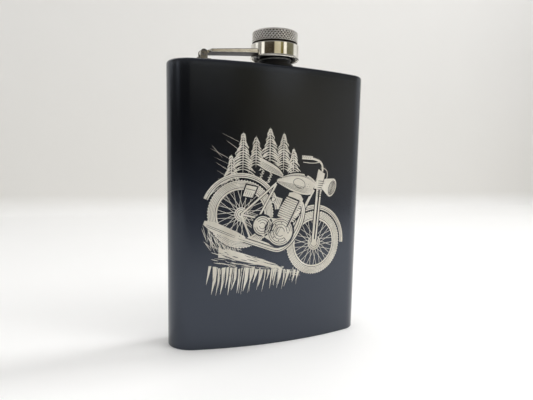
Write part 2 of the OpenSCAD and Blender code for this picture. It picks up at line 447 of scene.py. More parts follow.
def knurled_steel():
    """Bright steel, with painted shade darkening the hollows of the knurl and the gap under the head."""
    look = Look("knurled_head_steel", (0.8, 0.78, 0.74), 1.0, 0.18)
    apart = look.node("SeparateXYZ", look.turned(0.0)).outputs

    def fading(axis, low, high):
        return look.between(apart[axis], 1, 0, low * MM, high * MM)

    hollow = fading("X", HEAD_R - KNURL_DEPTH * 0.8, HEAD_R - KNURL_DEPTH * 0.25)
    side = fading("Z", HEAD_TOP - 0.5, HEAD_TOP - 0.35)
    gap = fading("Z", HEAD_BOTTOM - 0.1, HEAD_BOTTOM + 0.15)
    # painted shade: the base colour turns dark in the knurl's hollows below its top edge and in the gap under
    # the head
    painted_shade = look.math("MAXIMUM", look.math("MULTIPLY", hollow, side), gap)
    steel = look.mottle(look.noise(420, 4, 0.6), (0.72, 0.69, 0.63), (0.9, 0.88, 0.84))
    look.shade(Base_Color=look.blend(painted_shade, steel, (0.035, 0.028, 0.02)),
               Roughness=look.between(painted_shade, 0.22, 0.5, 0, 1))
    look.bump(look.noise(5200, 3, 0.6, look.turned()), 0.003, 0.3)
    return look.material


def drawn_steel():
    """Bright strip steel whose drawing lines run along it, rougher on its underside, with painted shade
    darkening the underside.
    """
    look = Look("drawn_steel", (0.74, 0.72, 0.66), 1.0, 0.2)
    lines = look.noise(4200, 4, 0.6, look.place((0.03, 1, 1)))
    steel = look.mottle(look.noise(210, 4, 0.6), (0.6, 0.57, 0.5), (0.8, 0.78, 0.72))
    facing = look.node("SeparateXYZ", look.spot["Normal"]).outputs["Z"]
    # painted shade: the base colour turns dark where the surface faces down
    under = look.between(facing, 1, 0, -0.95, -0.6)
    look.shade(Base_Color=look.blend(under, steel, (0.05, 0.045, 0.05)),
               Roughness=look.math("ADD", look.between(lines, 0.12, 0.26), look.between(under, 0, 0.25, 0, 1)))
    look.bump(lines, 0.003, 0.4)
    return look.material


def silicone():
    """Cloudy pale rubber."""
    look = Look("silicone", (0.74, 0.74, 0.7), 0.0, 0.45)
    cloud = look.noise(320, 4)
    look.shade(Subsurface_Weight=0.15, Subsurface_Radius=(0.001, 0.001, 0.0009),
               Base_Color=look.mottle(cloud, (0.66, 0.66, 0.61), (0.79, 0.79, 0.75)),
               Roughness=look.between(cloud, 0.38, 0.55))
    look.bump(look.noise(1900, 3), 0.01, 0.3)
    return look.material


def moulded_plastic():
    """Dark plastic with the grain of its mould and faint flow marks."""
    look = Look("moulded_plastic", (0.035, 0.035, 0.038), 0.0, 0.4)
    grain = look.noise(1700, 4, 0.6)
    look.shade(Base_Color=look.mottle(look.noise(140, 3), (0.028, 0.028, 0.031), (0.05, 0.05, 0.053)),
               Roughness=look.between(grain, 0.34, 0.5))
    look.bump(grain, 0.012, 0.3)
    return look.material


COAT = black_coat()
BARE = bared_steel()
NECK_COAT = worn_coat()
COLLAR_STEEL = turned_steel("polished_collar_steel", (0.68, 0.65, 0.58), (0.84, 0.82, 0.77), 0.03, 0.07,
                            groove=0.0015)
HEAD_STEEL = knurled_steel()
RING_STEEL = turned_steel("keeper_ring_steel", (0.5, 0.49, 0.46), (0.66, 0.65, 0.62), 0.24, 0.36)
ARM_STEEL = drawn_steel()
# painted shade: a darker copy of the turned steel for the hinge bracket and pin
SHADED_HINGE_STEEL = turned_steel("hinge_steel_painted_shade", (0.14, 0.13, 0.12), (0.44, 0.42, 0.39), 0.12, 0.26)
SEAL = silicone()
PLASTIC = moulded_plastic()


# ---------------- body

def make_wall():
    """The wall, with its rounded foot and a hairline round its seam with the shoulder."""
    out = HALF_T - COAT_INSET
    inner = HALF_T - SHEET
    profile = rounded([(out, 0, 0.6), (out, SEAM_Z, 0.05), (inner, SEAM_Z, 0), (inner, 0, 0.15)])
    piece("flask_wall", sweep_outline(profile), "flask", "black_coat", COAT, "body_wall")


def crown_height(out):
    """Height of the shoulder's crown at a distance from the centreline."""
    flat = HALF_T - 1.4
    dome_r = (flat * flat + CROWN * CROWN) / (2 * CROWN)
    return TOP_Z - dome_r + sqrt(dome_r * dome_r - out * out)


def make_shoulder():
    """The shoulder: a low crown, a rounded edge and a short rim, open under the neck."""
    out = HALF_T - COAT_INSET
    edge = 1.4
    steps = 10
    crown = [(r, crown_height(r) - COAT_INSET) for r in [9.5 * i / steps for i in range(steps + 1)]]
    corner = [(out - edge + edge * sin(a), EDGE_Z - COAT_INSET - edge + edge * cos(a))
              for a in [pi / 2 * i / 8 for i in range(1, 9)]]
    rim = [(out, SEAM_Z + 0.1), (out, SEAM_Z + 0.04), (out - 0.04, SEAM_Z), (HALF_T - SHEET, SEAM_Z)]
    inside = [(HALF_T - SHEET, EDGE_Z - 1.4)]
    inside += [(r, crown_height(r) - SHEET) for r in [9.4 * i / steps for i in range(steps, -1, -1)]]
    shell = sweep_outline(crown + corner + rim + inside, closed=False)
    hole = revolve([(0, SEAM_Z), (BORE_R + 0.4, SEAM_Z), (BORE_R + 0.4, TOP_Z + 2), (0, TOP_Z + 2)], 96)
    mesh = combine(shell, [hole], "DIFFERENCE")
    piece("flask_shoulder", mesh, "flask", "black_coat", COAT, "shoulder_plate")


def make_base():
    """The base plate: a pan set up into the foot of the wall, with a rounded inner edge."""
    recess = span("base_plate", 2)[1] - SHEET
    out = HALF_T - SHEET
    profile = [(0, recess), (4, recess)]
    profile += rounded([(4, recess, 0), (out - SHEET, recess, 0.7), (out - SHEET, 0.0, 0.12), (out, 0.0, 0.12),
                        (out, recess + SHEET, 0.3), (4, recess + SHEET, 0)], closed=False)[1:]
    profile += [(0, recess + SHEET)]
    piece("flask_base", sweep_outline(profile, closed=False), "flask", "black_coat", COAT, "base_plate")


# ---------------- neck

def thread_bump(turn, z, start, end):
    """Height from 0 to 1 of a helical thread at a turn and height, faded at both of its ends."""
    along = (z - start) / THREAD_PITCH - turn / tau
    inside = abs(along - round(along))
    ridge = min(1.0, max(0.0, (0.3 - inside) / 0.18))
    centre = start + (round(along) + turn / tau) * THREAD_PITCH
    fade = min(centre - start, end - centre) / 0.5
    return ridge * min(1.0, max(0.0, fade))


def threaded(profile, wall, low, high, start, end, out, closed=True):
    """Revolved profile, divided finely from low to high along its wall, with a thread there.

    The thread stands out from the wall by a number of millimetres, from height start to end.
    """
    def on_wall(radius, z):
        return abs(radius - wall) < 0.01 and low <= z <= high

    def relief(turn, radius, z):
        return out * thread_bump(turn, z, start, end) if on_wall(radius, z) else 0

    return revolve(finer(profile, 0.08, on_wall, closed), relief=relief)


def make_neck():
    """The neck with a helical thread, a rolled mouth and the ring that it stands in."""
    ring_r = span("neck_spout", 0)[1]
    ring_top = TOP_Z + 0.9
    profile = rounded([(NECK_R, NECK_BOTTOM, 0.1), (NECK_R, EDGE_Z - 0.3, 0), (ring_r, EDGE_Z - 0.3, 0),
                       (ring_r, ring_top, 0.25), (NECK_R, ring_top, 0.2), (NECK_R, NECK_TOP, 0.3),
                       (BORE_R, NECK_TOP, 0.3), (BORE_R, NECK_BOTTOM, 0.1)])
    mesh = threaded(profile, NECK_R, ring_top + 0.2, NECK_TOP, ring_top + 0.5, NECK_TOP - 0.9, THREAD_H)
    piece("neck_with_thread", mesh, "flask", "black_coat", NECK_COAT, "neck_spout", crease=60)


# ---------------- hinge and arm

EAR_R = 1.5
EAR_T = 0.7
EAR_OUTER = (span("hinge_bracket", 1)[1] - span("hinge_bracket", 1)[0]) / 2
KNUCKLE_R = EAR_R - 0.15
KNUCKLE_HALF = EAR_OUTER - EAR_T - 0.15
PIN_R = 0.8


def make_bracket():
    """Foot and two round-topped ears, with softened edges."""
    hinge_x, hinge_y, hinge_z = HINGE
    foot_half = span("hinge_bracket", 0)[1] - hinge_x
    foot_top = TOP_Z + 0.6
    foot = plate([(hinge_x - foot_half, EDGE_Z - 0.3), (hinge_x + foot_half, EDGE_Z - 0.3),
                  (hinge_x + foot_half, foot_top), (hinge_x - foot_half, foot_top)],
                 hinge_y - EAR_OUTER, hinge_y + EAR_OUTER, 0.16)
    top = [(hinge_x + EAR_R * cos(a), hinge_z + EAR_R * sin(a))
           for a in [pi * i / 24 for i in range(25)]]
    ear = [(hinge_x + EAR_R, EDGE_Z), *top, (hinge_x - EAR_R, EDGE_Z)]
    ears = [plate(ear, y, y + EAR_T, 0.14)
            for y in (hinge_y - EAR_OUTER, hinge_y + EAR_OUTER - EAR_T)]
    mesh = combine(foot, ears, "UNION")
    piece("hinge_bracket_bright", mesh, "flask", "arm_steel", SHADED_HINGE_STEEL, "hinge_bracket")


def along_pin(mesh):
    """Lays a bmesh revolved about height 0 of the neck's axis along the hinge pin."""
    stand = Matrix.Translation((0, -NECK_Y * MM, 0))
    lay = Matrix.Translation([value * MM for value in HINGE]) @ Matrix.Rotation(pi / 2, 4, "X")
    bmesh.ops.transform(mesh, matrix=lay @ stand, verts=mesh.verts)
    return mesh


def make_pin():
    """The hinge pin, with a domed head at each end."""
    end = (span("hinge_pin", 1)[1] - span("hinge_pin", 1)[0]) / 2
    head_r = PIN_R + 0.45
    dome = [(head_r * sin(a), EAR_OUTER + (end - EAR_OUTER) * cos(a))
            for a in [pi / 2 * i / 10 for i in range(1, 11)]]
    half = [(0, end), *dome, (PIN_R, EAR_OUTER), (PIN_R, EAR_OUTER - 0.1)]
    profile = half + [(r, -z) for r, z in reversed(half)]
    mesh = along_pin(revolve(profile, 64))
    piece("hinge_pin_domed", mesh, "flask", "arm_steel", SHADED_HINGE_STEEL, "hinge_pin")


def make_arm():
    """Knuckle and strap. The strap widens behind the ears and its end lies on the collar."""
    hinge_x, hinge_y, hinge_z = HINGE
    thick, end_thick, slope = 1.4, 2.0, 0.09
    wide = (span("cap_arm", 1)[1] - span("cap_arm", 1)[0]) / 2
    low = hinge_z - 0.2
    weld = 0.15
    end = -hinge_x - (COLLAR_R - weld)
    waist = EAR_R + 0.6
    stations = [PIN_R + 0.12, 1.15, 1.4, waist - 0.05] + [waist + 1.2 * (i / 8) ** 2 for i in range(9)]
    stations += [waist + 1.3 + (end - waist - 1.3) * i / 24 for i in range(25)]
    across = 18
    mesh = bmesh.new()
    rows = []
    for reach in stations:
        grow = min(1.0, max(0.0, (reach - waist) / 1.2))
        half = KNUCKLE_HALF + (wide - KNUCKLE_HALF) * sqrt(1 - (1 - grow) ** 2)
        under = low + slope * reach
        over = under + thick + (end_thick - thick) * reach / end
        section = rounded([(-half, under, 0.22), (half, under, 0.22), (half, over, 0.34), (-half, over, 0.34)],
                          hold=0.04)
        curve = max(0.0, (reach - 8) / (end - 8))
        row = []
        for (y0, z0), (y1, z1) in zip(section, section[1:] + section[:1]):
            pieces = across if abs(y1 - y0) > half else 1
            for k in range(pieces):
                y, z = y0 + (y1 - y0) * k / pieces, z0 + (z1 - z0) * k / pieces
                hollow = sqrt((COLLAR_R - weld) ** 2 - y * y) - (COLLAR_R - weld)
                x = hinge_x + reach - hollow * curve ** 2
                row.append(vert(mesh, x, hinge_y + y, z))
        rows.append(row)
    skin(mesh, rows, closed=False)
    mesh.faces.new(rows[0])
    mesh.faces.new(rows[-1])
    knuckle = rounded([(PIN_R + 0.05, KNUCKLE_HALF, 0.1), (KNUCKLE_R, KNUCKLE_HALF, 0.2),
                       (KNUCKLE_R, -KNUCKLE_HALF, 0.2), (PIN_R + 0.05, -KNUCKLE_HALF, 0.1)])
    mesh = combine(along_pin(revolve(knuckle, 96)), [mesh], "UNION")
    piece("cap_arm_strap", mesh, "arm", "arm_steel", ARM_STEEL, "cap_arm")


def make_collar():
    """The polished band, with a lip round its top and a rolled bead round its bottom."""
    bore = COLLAR_R - COLLAR_WALL
    lip_r = SKIRT_R + 0.1
    bead_out = bore + 2 * BEAD_R
    middle = bore + BEAD_R
    roll = [(middle + BEAD_R * cos(a), COLLAR_BOTTOM + BEAD_R + BEAD_R * sin(a))
            for a in [radians(50 - 230 * i / 22) for i in range(23)]]
    lip_z, bead_z = COLLAR_TOP - 0.6, COLLAR_BOTTOM + BEAD_R
    band = rounded([(bore, bead_z, 0), (bore, lip_z, 0.08), (lip_r, lip_z, 0.08), (lip_r, COLLAR_TOP, 0.12),
                    (COLLAR_R, COLLAR_TOP, 0.28), (COLLAR_R, bead_z + 0.55, 0.1),
                    (bead_out - 0.14, roll[0][1], 0)], closed=False)
    mesh = revolve(band[1:-1] + roll, 256)
    piece("cap_collar_polished", mesh, "arm", "polished_steel", COLLAR_STEEL, "cap_collar", crease=55)


# ---------------- cap

def make_shell():
    """The head with a raised diamond lattice round it, its domed top, and the skirt."""
    knurls, knurl_h = 44, 1.55
    chamfer = 0.35
    dome_r = (HEAD_R ** 2 + 0.8 ** 2) / 1.6
    dome = [(r, SHELL_TOP - dome_r + sqrt(dome_r ** 2 - r * r)) for r in (0, 2, 4, 6, 8, 9.2)]
    shoulder = HEAD_R - chamfer
    low, high = HEAD_BOTTOM + chamfer, HEAD_TOP - chamfer
    profile = dome + rounded([(9.2, dome[-1][1], 0), (shoulder, HEAD_TOP + 0.05, 0.12), (HEAD_R, high, 0.05),
                              (HEAD_R, low, 0.05), (shoulder, HEAD_BOTTOM, 0.08), (SKIRT_R, HEAD_BOTTOM, 0.05),
                              (SKIRT_R, SHELL_BOTTOM, 0.12), (INSERT_R, SHELL_BOTTOM, 0.06),
                              (INSERT_R, INSERT_TOP, 0.05), (0, INSERT_TOP, 0)], closed=False)[1:]
    profile = finer(profile, 0.09, lambda r, z: r > shoulder - 0.01 and z > HEAD_BOTTOM, closed=False)

    def relief(turn, radius, z):
        if radius < shoulder + 0.02 or z < HEAD_BOTTOM:
            return 0
        around = knurls * turn / tau
        up = (z - (HEAD_BOTTOM + HEAD_TOP) / 2) / knurl_h
        nearest = min(abs(lane - round(lane)) for lane in (around + up, around - up))
        deep = min(1.0, max(0.0, (nearest - 0.13) / 0.13))
        fade = min(1.0, (radius - shoulder) / chamfer)
        return -KNURL_DEPTH * deep * fade

    mesh = revolve(profile, knurls * 16, relief)
    piece("cap_head_knurled", mesh, "cap", "knurled_steel", HEAD_STEEL, "cap_shell", crease=75)


def make_insert():
    """The threaded sleeve, with its partition over the sealing disc."""
    gasket_low, gasket_high = span("cap_gasket", 2)
    root = INSERT_R - 0.4
    crest = root - THREAD_H
    partition = gasket_high + 0.05
    profile = [(0, partition), (crest - 1, partition)]
    profile += rounded([(crest - 1, partition, 0), (crest, partition, 0.05), (crest, gasket_low, 0.06),
                        (root, gasket_low, 0.05), (root, INSERT_BOTTOM, 0.1), (INSERT_R, INSERT_BOTTOM, 0.1),
                        (INSERT_R, INSERT_TOP, 0.05), (root, INSERT_TOP, 0.05), (root, partition + 1.4, 0.1),
                        (0, partition + 1.4, 0)], closed=False)[1:]
    mesh = threaded(profile, root, INSERT_BOTTOM, gasket_low - 0.05, INSERT_BOTTOM + 0.5, gasket_low - 0.5,
                    -THREAD_H, closed=False)
    piece("cap_insert_threaded", mesh, "cap", "liner_plastic", PLASTIC, "cap_insert", crease=60)


def make_gasket():
    """The sealing disc, with the ring that the neck's mouth has pressed into it."""
    low, high = span("cap_gasket", 2)
    out = span("cap_gasket", 0)[1]
    mark = (BORE_R + NECK_R) / 2
    face = [(mark + 0.5 * i / 6, low + 0.06 * (1 + cos(pi * i / 6)) / 2) for i in range(-6, 7)]
    profile = [(0, low), *face]
    profile += rounded([(face[-1][0], low, 0), (out, low, 0.12), (out, high, 0.12), (0, high, 0)],
                       closed=False)[1:]
    piece("cap_gasket_disc", revolve(profile), "seal", "seal_rubber", SEAL, "cap_gasket")


def make_keeper():
    """The ring that keeps the cap in its collar, with rounded edges."""
    low, high = span("keeper_ring", 2)
    profile = rounded([(SKIRT_R, low, 0.06), (KEEPER_R, low, 0.16),
                       (KEEPER_R, high, 0.16), (SKIRT_R, high, 0.06)])
    piece("keeper_ring_turned", revolve(profile), "cap", "arm_steel", RING_STEEL, "keeper_ring")


# ---------------- engraving

class Engraving:
    """Strokes cut through the coat of the front face, and islands of coat left between them.

    The drawing is in millimetres along the face and up it. Each layer lies a few micrometres over
    the one before, and the last stands less than a tenth of a millimetre out of the coat.
    """
    layer_step = 0.0018
    stagger = 0.0001

    def __init__(self):
        self.meshes = {"bare": bmesh.new(), "coat": bmesh.new()}
        self.layer = 0
        self.count = 0
        self.tilt = 0.0

    def point(self, mesh, s, z, out):
        """Vertex at arc length s and height z, at a distance out from the centreline."""
        angle = s / FRONT_R
        radius = MID_R + out
        return vert(mesh, radius * sin(angle), ARC_Y - radius * cos(angle), z)

    def tilted(self, points):
        """Points turned clockwise by the tilt, about a spot between the wheels."""
        c, d = cos(self.tilt), sin(self.tilt)
        return [(-0.7 + s * c + (z - 53.5) * d, 52.8 - s * d + (z - 53.5) * c) for s, z in points]

    def band(self, left, right, tone):
        """Closed thin solid between two rows of points (s, z)."""
        mesh = self.meshes[tone]
        if self.tilt:
            left, right = self.tilted(left), self.tilted(right)
        self.count += 1
        top = HALF_T - COAT_INSET + 0.003 + self.layer * self.layer_step + (self.count % 13) * self.stagger
        low = HALF_T - COAT_INSET - 0.03
        rows = [[self.point(mesh, *a, top), self.point(mesh, *b, top), self.point(mesh, *b, low),
                 self.point(mesh, *a, low)] for a, b in zip(left, right)]
        skin(mesh, rows, closed=False)
        mesh.faces.new(rows[0])
        mesh.faces.new(rows[-1])

    def stroke(self, points, width, tone="bare", taper=0.0):
        """Line through points. Taper is the share of its width that it loses at its ends."""
        points = spread(points, max(len(points), count_of(points)))
        left, right = [], []
        last = len(points) - 1
        for i, (s, z) in enumerate(points):
            ahead = Vector(points[min(i + 1, last)]) - Vector(points[max(i - 1, 0)])
            side = Vector((-ahead.y, ahead.x)).normalized()
            half = width / 2 * (1 - taper * abs(2 * i / last - 1) ** 2)
            left.append((s + side.x * half, z + side.y * half))
            right.append((s - side.x * half, z - side.y * half))
        self.band(left, right, tone)

    def line(self, start, end, width, tone="bare", taper=0.0):
        self.stroke(straight(start, end), width, tone, taper)

    def ring(self, centre, radius, width, tone="bare", start=0, end=360, squeeze=1.0):
        """Arc of a circle, or of an ellipse whose breadth is squeezed."""
        steps = max(8, int(abs(end - start) / 360 * (12 + radius * 4)))
        self.stroke([polar(centre, radius, radians(start + (end - start) * i / steps), squeeze)
                     for i in range(steps + 1)], width, tone)

    def disc(self, centre, radius, tone="bare", squeeze=1.0):
        angles = [pi * (1 - i / 24) for i in range(25)]
        self.area([polar(centre, radius, a, squeeze) for a in angles],
                  [polar(centre, radius, -a, squeeze) for a in angles], tone)

    def area(self, top, bottom, tone="bare"):
        """Fills between two lines whose points correspond."""
        count = max(len(top), len(bottom), count_of(top), count_of(bottom), 12)
        self.band(spread(top, count), spread(bottom, count), tone)

    def hatch(self, top, bottom, lines, width, tone="bare", taper=0.6, low=0.0, high=1.0):
        """Lines that run along an area, shared out between its bottom at 0 and its top at 1."""
        count = max(len(top), len(bottom), count_of(top), 12)
        upper, lower = spread(top, count), spread(bottom, count)
        for k in range(lines):
            share = low + (high - low) * (k + 0.5) / lines
            self.stroke([part_way(b, a, share) for a, b in zip(upper, lower)], width, tone, taper)

    def over(self):
        """What is drawn from here on lies over what was drawn before."""
        self.layer += 1

    def done(self):
        piece("engraving_bared_lines", self.meshes["bare"], "flask", "arm_steel", BARE)
        piece("engraving_coat_islands", self.meshes["coat"], "flask", "black_coat", COAT)


def polar(centre, radius, angle, squeeze=1.0):
    """Point at a radius and an angle from a centre, with its breadth squeezed."""
    return centre[0] + squeeze * radius * cos(angle), centre[1] + radius * sin(angle)


def part_way(a, b, share):
    """Point at a share of the way from one to another."""
    return a[0] + (b[0] - a[0]) * share, a[1] + (b[1] - a[1]) * share


def count_of(points):
    """How many points a line needs to follow the curve of the face to within a micrometre."""
    return ceil(sum(dist(a, b) for a, b in zip(points, points[1:])) / 1.1) + 1


def straight(start, end, step=1.1):
    """Points along a straight line."""
    steps = max(2, ceil(dist(start, end) / step))
    return [(start[0] + (end[0] - start[0]) * i / steps, start[1] + (end[1] - start[1]) * i / steps)
            for i in range(steps + 1)]


def curve(a, b, c, d, steps=16):
    """Points along a Bezier curve."""
    made = []
    for i in range(steps + 1):
        t = i / steps
        weights = ((1 - t) ** 3, 3 * t * (1 - t) ** 2, 3 * t * t * (1 - t), t ** 3)
        made.append(tuple(sum(w * p[k] for w, p in zip(weights, (a, b, c, d))) for k in (0, 1)))
    return made


def spread(points, count):
    """The same line with a number of points evenly along it."""
    lengths = [0.0]
    for a, b in zip(points, points[1:]):
        lengths.append(lengths[-1] + dist(a, b))
    made = []
    k = 0
    for i in range(count):
        wanted = lengths[-1] * i / (count - 1)
        while k < len(points) - 2 and lengths[k + 1] < wanted:
            k += 1
        share = (wanted - lengths[k]) / max(1e-9, lengths[k + 1] - lengths[k])
        made.append(part_way(points[k], points[k + 1], share))
    return made


REAR_HUB = (-19.5, 53.5)
FRONT_HUB = (19.5, 53.5)
WHEEL_R = 14.6


def draw_wheel(ink, hub, drum_r):
    """Tyre with its tread, rim, crossed spokes and hub."""
    ink.disc(hub, WHEEL_R + 0.5, "coat")
    ink.over()
    for k in range(5):
        ink.ring(hub, WHEEL_R - 0.25 - 0.62 * k, 0.5)
    for k in range(72):
        angle = tau * k / 72
        ink.line(polar(hub, WHEEL_R - 0.3, angle), polar(hub, WHEEL_R + 0.25, angle + 0.02), 0.5)
    ink.ring(hub, WHEEL_R - 3.6, 0.75)
    for k in range(36):
        angle = tau * k / 36
        lean = 0.35 if k % 2 else -0.35
        ink.line(polar(hub, drum_r, angle + lean), polar(hub, WHEEL_R - 3.8, angle), 0.2)
    ink.over()
    ink.disc(hub, drum_r, "bare")
    ink.over()
    for radius in (drum_r * 0.82, drum_r * 0.55):
        ink.ring(hub, radius, 0.22, "coat")
    ink.disc(hub, drum_r * 0.25, "coat")


def draw_fender(ink, hub, start, end, gap):
    """Mudguard over a wheel, with a lengthwise highlight."""
    inner = WHEEL_R + gap
    arc = [radians(start + (end - start) * i / 30) for i in range(31)]
    ink.area([polar(hub, inner + 2, a) for a in arc], [polar(hub, inner, a) for a in arc])
    ink.over()
    ink.ring(hub, inner + 0.62, 0.26, "coat", start, end)
    ink.ring(hub, inner + 1.3, 0.14, "coat", start + 8, end - 8)


def draw_engine(ink):
    """Upright single cylinder with its fins, crankcase, gearbox and primary case."""
    case = (0.5, 52.5)
    ink.disc((0.2, 52.6), 7.4, "coat")
    ink.disc((-8.6, 52.4), 5, "coat")
    ink.over()
    ink.disc(case, 6.2)
    ink.disc((-8.6, 52.2), 4.2)
    ink.area([(-9, 56), (0, 58.2)], [(-9, 48.4), (0, 46.6)])
    ink.over()
    for radius in (5.6, 4.7, 3.4, 2.1):
        ink.ring(case, radius, 0.26, "coat", 20, 330)
    for radius in (3.6, 2.6, 1.4):
        ink.ring((-8.6, 52.2), radius, 0.24, "coat", -150, 160)
    for k in range(8):
        ink.disc(polar(case, 4.05, tau * k / 8 + 0.2), 0.28, "coat")
    for k in range(7):
        ink.line((-6.2 + 0.9 * k, 49.2), (-5.2 + 0.9 * k, 55.4), 0.2, "coat", 0.8)
    ink.over()
    for k in range(10):
        z = 59 + 0.98 * k
        wide = 4.9 - 0.12 * abs(k - 4)
        lean = 0.12 * (z - 59)
        ink.line((0.9 - wide + lean, z), (0.9 + wide + lean, z), 0.62)
        ink.line((0.9 - wide + lean + 0.3, z - 0.45), (0.9 + wide + lean - 2.2, z - 0.45), 0.16, taper=0.8)
    ink.over()
    ink.line((3, 55.5), (4.6, 69.4), 0.9, "coat")
    ink.line((3.4, 55.5), (5, 69.4), 0.5)
    ink.area([(-1.8, 70.3), (0.4, 71.4), (4, 71.4), (6, 70)],
             [(-1.8, 68.7), (0.4, 68.9), (4, 68.9), (6, 68.5)])
    ink.area([(-8.8, 66.2), (-4, 66.6)], [(-8.8, 63.4), (-4, 62.6)])
    ink.over()
    ink.ring((-8.2, 64.8), 1, 0.22, "coat")
    for k in range(4):
        ink.line((-7 + 0.8 * k, 63.4), (-7 + 0.8 * k, 66), 0.18, "coat")


def draw_frame(ink):
    """Tubes, fork, tank, saddle, bars, lamp and silencer."""
    tubes = (((9.4, 77.5), (-9, 73.2)), ((-9, 73.2), (-11.6, 55)), ((-9.4, 72), REAR_HUB),
             ((-11.8, 54.6), REAR_HUB))
    for tube in tubes:
        ink.line(*tube, 1.3, "coat")
    down = curve((9.8, 76), (7.4, 66), (7.6, 52), (5.2, 45.2))
    ink.stroke(down, 2.2, "coat")
    ink.over()
    for tube in tubes:
        ink.line(*tube, 0.8)
    ink.stroke(down, 1.3)
    ink.line((5.2, 45.3), (-12, 45.3), 1.1)
    ink.line((-12, 45.3), REAR_HUB, 0.8)
    for k in range(22):
        ink.line((-9.6 - 0.44 * k, 49 + 0.08 * k), (-9.8 - 0.44 * k, 49.5 + 0.08 * k), 0.2)
        ink.line((-9.6 - 0.44 * k, 55.8 - 0.02 * k), (-9.8 - 0.44 * k, 56.2 - 0.02 * k), 0.2)
    ink.over()
    pipe = curve((5.2, 68.4), (11.8, 66.8), (9.6, 44.6), (1, 44)) + straight((-0.4, 43.9), (-17, 43.4))
    ink.stroke(pipe, 2.5, "coat")
    ink.over()
    ink.stroke(pipe, 1.7)
    ink.area([(-14, 44.9), (-18, 45.7), (-29, 46.4), (-33.4, 45.4)],
             [(-14, 42.5), (-18, 41.9), (-29, 42), (-33.4, 43.6)])
    ink.over()
    ink.stroke([(s, z - 0.25) for s, z in pipe], 0.26, "coat", 0.5)
    for share in (0.25, 0.45):
        ink.hatch([(-18.5, 45.6), (-32, 45.8)], [(-18.5, 42.1), (-32, 42.6)], 1, 0.22, "coat", 0.4,
                  share, share)
    ink.over()
    top = curve((9.6, 79.4), (4, 82.8), (-4, 80), (-9.6, 73.6))
    bottom = curve((9, 73.4), (4, 70.6), (-3, 71.4), (-9.4, 72.4))
    ink.area([(s + 0.2, z + 0.8) for s, z in top], [(s, z - 0.8) for s, z in bottom], "coat")
    ink.over()
    ink.area(top, bottom)
    ink.over()
    ink.hatch(top, bottom, 5, 0.16, "coat", 0.9, 0.08, 0.4)
    ink.hatch(top, bottom, 2, 0.2, "coat", 0.9, 0.84, 0.94)
    ink.ring((1.4, 75.9), 2, 0.22, "coat", squeeze=1.6)
    ink.disc((3.2, 80.9), 0.9, "coat")
    ink.over()
    seat_top = curve((-7.6, 76.4), (-11, 79.2), (-15, 78.8), (-19.6, 79.4))
    seat_low = curve((-7.8, 75.2), (-11, 75.6), (-15, 74.6), (-19.4, 75.8))
    ink.area([(s, z + 0.6) for s, z in seat_top], [(s, z - 0.5) for s, z in seat_low], "coat")
    ink.over()
    ink.area(seat_top, seat_low)
    ink.over()
    ink.hatch(seat_top, seat_low, 4, 0.17, "coat", 0.7, 0.1, 0.7)
    for s in (-13.2, -17.2):
        ink.stroke([(s + (0.9 if k % 2 else -0.9), 75 - 0.55 * k) for k in range(9)], 0.34)
    ink.area([(-22.6, 66.8), (-16.6, 67.6)], [(-22.4, 60.6), (-16.8, 61.4)], "coat")
    ink.over()
    ink.area([(-22, 66.2), (-17.2, 67)], [(-21.8, 61.2), (-17.4, 62)])
    ink.over()
    ink.line((-21.6, 64.6), (-17.4, 65.3), 0.24, "coat")
    for k in range(5):
        ink.line((-21.2 + 0.9 * k, 61.9), (-21.2 + 0.9 * k, 64.2), 0.16, "coat", 0.7)


def draw_front(ink):
    """Fork, handlebar and lamp, over everything else."""
    ink.line((10.2, 84), FRONT_HUB, 3.6, "coat")
    ink.over()
    ink.line((9.6, 83.6), (FRONT_HUB[0] - 0.9, FRONT_HUB[1]), 1.1)
    ink.line((11.6, 83.6), (FRONT_HUB[0] + 0.8, FRONT_HUB[1]), 0.8)
    ink.area([(8.6, 85.6), (12.8, 85)], [(9.6, 76.6), (13.8, 77.4)])
    ink.over()
    for k in range(8):
        ink.line((10.4 + 0.3 * k, 80.6 - 0.95 * k), (14 + 0.3 * k, 81.6 - 0.95 * k), 0.3, "coat", 0.4)
    ink.disc(FRONT_HUB, 1.5)
    ink.disc((18.2, 80.4), 5, "coat", 0.9)
    ink.over()
    ink.area([(13.6, 82.8), (18.6, 84.9)], [(13.6, 78.2), (18.6, 76.1)])
    ink.disc((18.9, 80.5), 4.4, "bare", 0.62)
    ink.over()
    ink.disc((19.2, 80.5), 3.5, "coat", 0.56)
    ink.over()
    for k in range(5):
        ink.ring((19.2, 80.5), 3.1 - 0.62 * k, 0.2, squeeze=0.52)
    bar = curve((11, 85.4), (10, 90.4), (6, 89.6), (-1, 87.4))
    ink.stroke(bar, 2, "coat")
    ink.over()
    ink.stroke(bar, 1)
    ink.line((3.6, 89), (-1.8, 87.2), 1.7)
    ink.stroke(curve((8, 88.8), (5, 86.8), (3, 86.4), (-0.4, 85.4)), 0.3)
    ink.stroke(curve((9.6, 86.6), (15, 88.6), (15.6, 84), (13.8, 76)), 0.28)
    ink.over()
    for k in range(5):
        ink.line((2.6 - k, 88.2 - 0.3 * k), (2.4 - k, 89.4 - 0.3 * k), 0.2, "coat")


def draw_pine(ink, foot, height, chance):
    """Conifer of drooping boughs either side of its trunk, ragged at their tips."""
    vary = chance.uniform
    s0, z0 = foot
    ink.line((s0, z0), (s0, z0 + height), 0.45, taper=0.9)
    rows = int(height / 1.15)
    for k in range(rows):
        z = z0 + height * (0.06 + 0.92 * k / rows)
        reach = 0.3 * height * (1 - k / rows) ** 0.8 + 0.35
        for side in (-1, 1):
            out = reach * vary(0.7, 1.15)
            drop = 0.3 * out + vary(0, 0.6)
            bough = curve((s0, z + 0.7), (s0 + side * out * 0.4, z + 0.5),
                          (s0 + side * out * 0.8, z - drop * 0.5), (s0 + side * out, z - drop), 5)
            ink.stroke(bough, 0.62 * vary(0.6, 1.3), taper=0.8)
            for twig in (2, 3, 4):
                s, high = bough[twig]
                ink.line((s, high), (s + side * vary(0.1, 0.5), high - vary(0.5, 1.1)),
                         vary(0.14, 0.3), taper=0.8)


